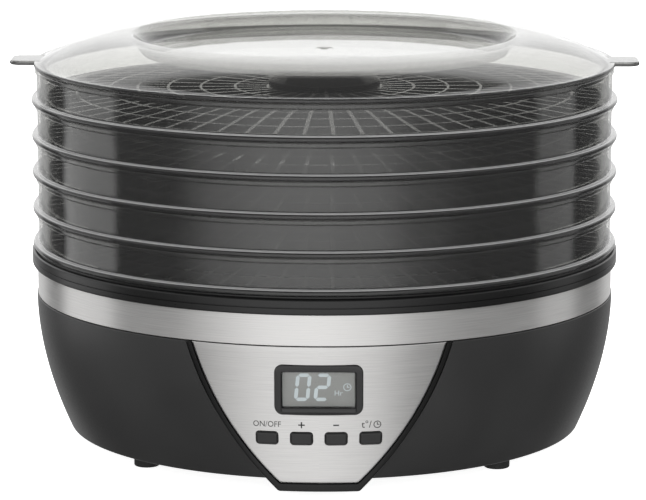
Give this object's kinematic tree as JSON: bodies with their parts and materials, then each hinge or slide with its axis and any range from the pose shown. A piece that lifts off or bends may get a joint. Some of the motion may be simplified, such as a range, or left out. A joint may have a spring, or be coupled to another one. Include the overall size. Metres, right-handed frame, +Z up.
{
  "type": "food dehydrator",
  "caption": "Round food dehydrator with smoky stacking trays, a dished lid with handle tabs, and a black base with a steel band, display and push buttons.",
  "frame": {"origin": "middle of the four feet, on the surface they stand on", "axes": "+Z up, the control panel faces -Y, the lid's handle tabs point along X"},
  "size_m": [0.3482, 0.3264, 0.2271],
  "materials": {
    "smoky_plastic": "clear smoky grey, polished",
    "black_plastic": "black, satin",
    "body_plastic": "charcoal, fine satin texture",
    "brushed_steel": "brushed along the band",
    "display_black": "black",
    "display_window": "clear",
    "lcd_glass": "grey-green backing",
    "button_plastic": "black, satin",
    "rubber": "black",
    "zinc_steel": "zinc plated",
    "mica_board": "mica sheet",
    "heater_wire": "resistance wire",
    "copper": "varnished copper winding",
    "circuit_board": "green solder mask",
    "coil_tape": "yellow coil tape",
    "terminal_plastic": "green",
    "fan_plastic": "grey"
  },
  "bodies": {
    "base": {"top_deck": "black_plastic", "outlet_grille": "black_plastic", "steel_band": "brushed_steel", "lower_housing": "body_plastic", "bottom_cover": "body_plastic", "cover_screw_1": "zinc_steel", "cover_screw_2": "zinc_steel", "cover_screw_3": "zinc_steel", "cover_screw_4": "zinc_steel", "foot_1": "rubber", "foot_2": "rubber", "foot_3": "rubber", "foot_4": "rubber", "cord_gland": "rubber", "panel_surround": "black_plastic", "control_panel": "brushed_steel", "display_bezel": "display_black", "display_lens": "display_window", "lcd_module": "lcd_glass", "control_board": "circuit_board", "switch_power": "display_black", "switch_plus": "display_black", "switch_minus": "display_black", "switch_mode": "display_black", "air_duct": "zinc_steel", "heater_frame": "mica_board", "heater_coil": "heater_wire", "thermal_fuse": "zinc_steel", "temperature_sensor": "display_black", "motor_mount": "zinc_steel", "motor_core": "zinc_steel", "motor_coil": "copper", "upper_bearing_bridge": "zinc_steel", "lower_bearing_bridge": "zinc_steel", "power_board": "circuit_board", "transformer": "coil_tape", "relay": "display_black", "terminal_block": "terminal_plastic", "capacitor": "display_black"},
    "tray_5_body": {"tray_5": "smoky_plastic"},
    "tray_4_body": {"tray_4": "smoky_plastic"},
    "tray_3_body": {"tray_3": "smoky_plastic"},
    "tray_2_body": {"tray_2": "smoky_plastic"},
    "tray_1_body": {"tray_1": "smoky_plastic"},
    "lid_body": {"lid": "smoky_plastic"},
    "fan": {"fan_rotor": "fan_plastic", "motor_shaft": "zinc_steel", "motor_rotor": "zinc_steel"},
    "power_button": {"button_power": "button_plastic"},
    "plus_button": {"button_plus": "button_plastic"},
    "minus_button": {"button_minus": "button_plastic"},
    "mode_button": {"button_mode": "button_plastic"}
  },
  "joints": [
    {"name": "tray_5_lift", "type": "slide", "parent": "base", "child": "tray_5_body", "axis": [0, 0, 1], "range_m": [0, 0.06]},
    {"name": "tray_4_lift", "type": "slide", "parent": "tray_5_body", "child": "tray_4_body", "axis": [0, 0, 1], "range_m": [0, 0.06]},
    {"name": "tray_3_lift", "type": "slide", "parent": "tray_4_body", "child": "tray_3_body", "axis": [0, 0, 1], "range_m": [0, 0.06]},
    {"name": "tray_2_lift", "type": "slide", "parent": "tray_3_body", "child": "tray_2_body", "axis": [0, 0, 1], "range_m": [0, 0.06]},
    {"name": "tray_1_lift", "type": "slide", "parent": "tray_2_body", "child": "tray_1_body", "axis": [0, 0, 1], "range_m": [0, 0.06]},
    {"name": "lid_lift", "type": "slide", "parent": "tray_1_body", "child": "lid_body", "axis": [0, 0, 1], "range_m": [0, 0.06]},
    {"name": "fan_spin", "type": "hinge", "parent": "base", "child": "fan", "pos_m": [0, 0, 0.062], "axis": [0, 0, 1], "continuous": true},
    {"name": "power_press", "type": "slide", "parent": "base", "child": "power_button", "axis": [0.1728, 0.9779, 0.1178], "range_m": [0, 0.0006], "stiffness_N_per_m": 400},
    {"name": "plus_press", "type": "slide", "parent": "base", "child": "plus_button", "axis": [0.0576, 0.9914, 0.1178], "range_m": [0, 0.0006], "stiffness_N_per_m": 400},
    {"name": "minus_press", "type": "slide", "parent": "base", "child": "minus_button", "axis": [-0.0576, 0.9914, 0.1178], "range_m": [0, 0.0006], "stiffness_N_per_m": 400},
    {"name": "mode_press", "type": "slide", "parent": "base", "child": "mode_button", "axis": [-0.1728, 0.9779, 0.1178], "range_m": [0, 0.0006], "stiffness_N_per_m": 400}
  ]
}
